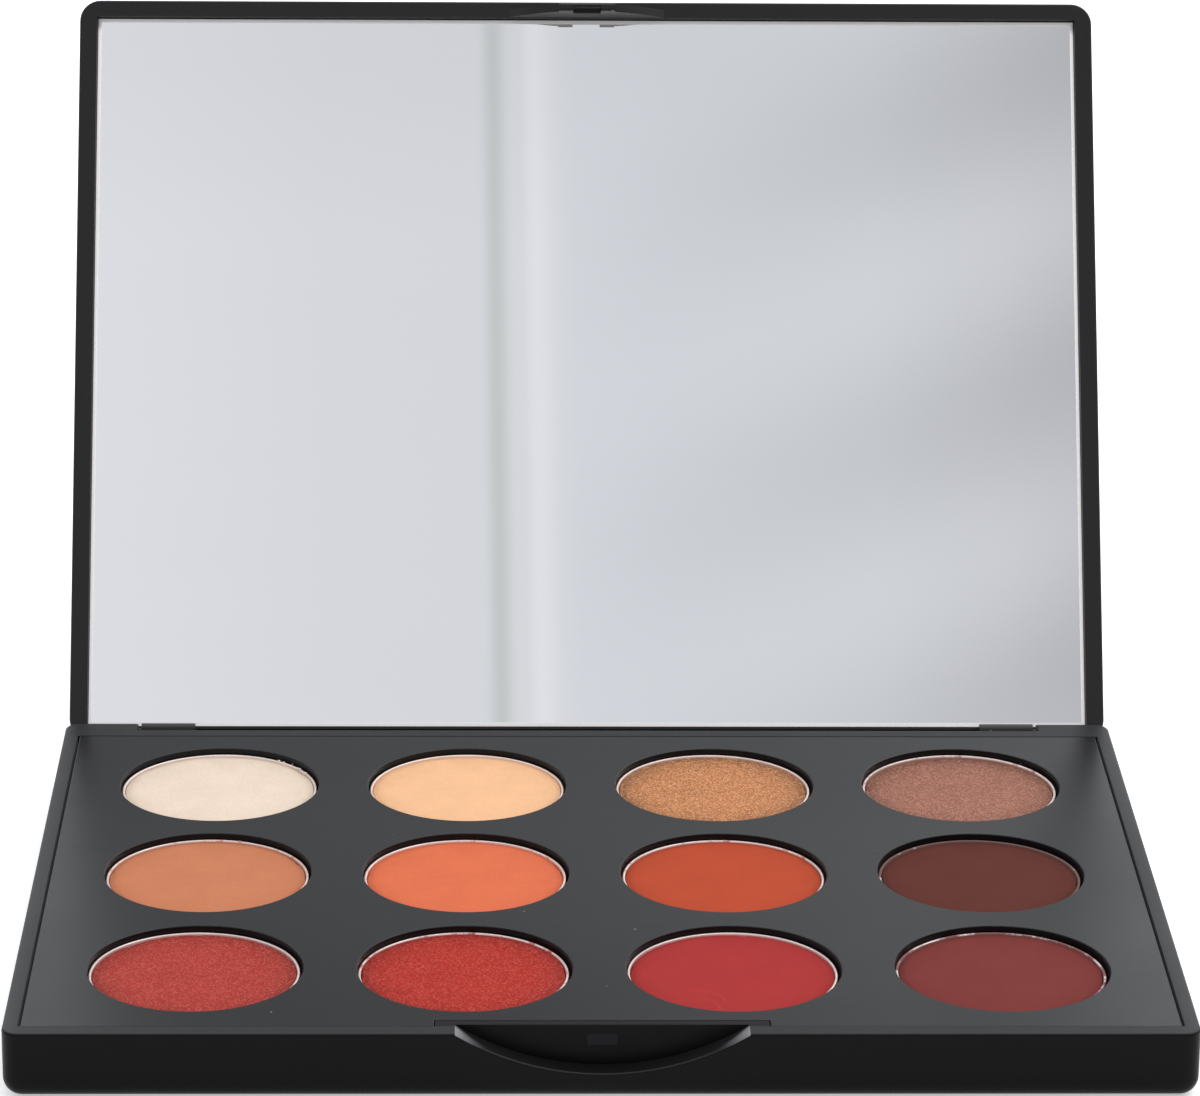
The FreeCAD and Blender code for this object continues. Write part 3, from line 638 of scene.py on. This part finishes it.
# ---------------------------------------------------------------- stage, light and camera
def stage_plane(name, half_width, half_depth, material, place):
    corners = [(-half_width, -half_depth, 0), (half_width, -half_depth, 0),
               (half_width, half_depth, 0), (-half_width, half_depth, 0)]
    mesh = bpy.data.meshes.new(name)
    mesh.from_pydata(corners, [], [(0, 1, 2, 3)])
    mesh.materials.append(material)
    piece = bpy.data.objects.new(name, mesh)
    bpy.context.scene.collection.objects.link(piece)
    piece.matrix_world = place


def floor_material():
    nodes = Nodes("floor_paint")
    cloud = nodes.noise(0.004, 2.0)
    paint = nodes.mix(cloud, rgb("F6F6F7"), rgb("FAFAFA"))
    nodes.set(Base_Color=paint, Roughness=0.8, Specular_IOR_Level=0.2,
              Emission_Color=paint, Emission_Strength=0.42)
    return nodes.material


# Tones across the studio wall, seen in the mirror from left to right.
WALL_TONES = [(0.16, "DADBDF"), (0.31, "D5D6DA"), (0.40, "D3D5D9"), (0.424, "D3D5D8"),
              (0.431, "C0C4C3"), (0.435, "BFC3C1"), (0.443, "D3D5D7"), (0.453, "D4D6DA"),
              (0.459, "DEDFE3"), (0.466, "DDDEE2"), (0.476, "D5D7DA"), (0.49, "D1D4D8"),
              (0.55, "CFD2D6"), (0.70, "CED1D4"), (0.79, "C9CBCF"), (0.855, "C2C3C7")]


def studio_wall():
    """A soft grey wall that glows, seen only in the mirror, with the blurred edge of a curtain; its tones, folds
    and darker upper part are painted light.
    """
    nodes = Nodes("studio_wall_glow")
    nodes.tree.nodes.remove(nodes.shader)
    place = nodes.axes()
    ramp = nodes.add("ValToRGB", {"Fac": nodes.span(place["X"], 0.5, -0.5)})
    tones = ramp.color_ramp.elements
    while len(tones) < len(WALL_TONES):
        tones.new(0.5)
    for tone, (position, code) in zip(tones, WALL_TONES):
        tone.position = position
        tone.color = rgb(code)
    # Painted shading: slanting folds, which show only in the right half, and a slightly darker upper part.
    slope = nodes.math("ADD", nodes.product(place["X"], -10.9), nodes.product(place["Y"], -28.8))
    wave = nodes.math("COSINE", nodes.math("ADD", slope, -0.93))
    folds = nodes.product(nodes.span(place["X"], 0.04, -0.3, 0.0, 0.085),
                          nodes.math("ADD", wave, 1.0))
    strength = nodes.product(nodes.math("SUBTRACT", 1.0, folds),
                             nodes.span(place["Y"], 0.2, 0.32, 1.0, 0.95), 1.12)
    painted_glow = nodes.add("Emission", {"Color": ramp.outputs["Color"], "Strength": strength})
    nodes.put(nodes.tree.nodes["Material Output"].inputs["Surface"], painted_glow.outputs[0])
    return nodes.material


def softbox(name, place, aim, width, depth, power, colour=(1.0, 1.0, 1.0)):
    data = bpy.data.lights.new(name, "AREA")
    data.shape = "RECTANGLE"
    data.size = width
    data.size_y = depth
    data.energy = power
    data.color = colour
    lamp = bpy.data.objects.new(name, data)
    bpy.context.scene.collection.objects.link(lamp)
    lamp.location = place
    lamp.rotation_mode = "QUATERNION"
    lamp.rotation_quaternion = (Vector(aim) - Vector(place)).to_track_quat("-Z", "Y")


# The wall stands where the mirror's middle looks when it is seen from the camera.
WALL_WAY = Vector((0.02, -0.787, 0.616)).normalized()
WALL_AWAY = 3.0
mirror_low, mirror_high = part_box("mirror")
wall_place = (Matrix.Translation((mirror_low + mirror_high) / 2 + WALL_AWAY * WALL_WAY)
              @ WALL_WAY.to_track_quat("-Z", "Y").to_matrix().to_4x4())
stage_plane("studio_floor", 12.0, 12.0, floor_material(), Matrix.Identity(4))
stage_plane("studio_wall", 2.2, 1.4, studio_wall(), wall_place)

softbox("overhead_softbox", (0.5, 0.55, 1.6), (0, 0, 0), 2.2, 1.6, 22.5)
softbox("right_fill", (1.8, -0.4, 1.3), (0, 0, 0.05), 1.2, 1.2, 4.5)
softbox("back_softbox", (0.2, 2.2, 0.8), (0, 0, 0.02), 3.2, 1.0, 12, (0.92, 0.96, 1.0))
softbox("front_strip", (0.1, -2.2, 0.75), (0, 0, 0.01), 1.8, 0.5, 4)
softbox("left_fill", (-1.8, 0.0, 1.1), (0, 0, 0.05), 1.2, 1.2, 4)

world = bpy.data.worlds.new("studio_air")
world.use_nodes = True
world.node_tree.nodes["Background"].inputs["Color"].default_value = (0.92, 0.94, 0.96, 1)
world.node_tree.nodes["Background"].inputs["Strength"].default_value = 0.55
bpy.context.scene.world = world

camera_data = bpy.data.cameras.new("camera")
camera_data.lens = 159.25
camera_data.sensor_width = 36.0
camera_data.clip_start = 0.05
camera_data.clip_end = 50.0
camera = bpy.data.objects.new("camera", camera_data)
bpy.context.scene.collection.objects.link(camera)
camera.location = (-0.01403, -0.64756, 0.27299)
camera.rotation_euler = [math.radians(angle) for angle in (71.253, -0.482, -1.105)]
bpy.context.scene.camera = camera
bpy.context.scene.view_settings.view_transform = "Standard"
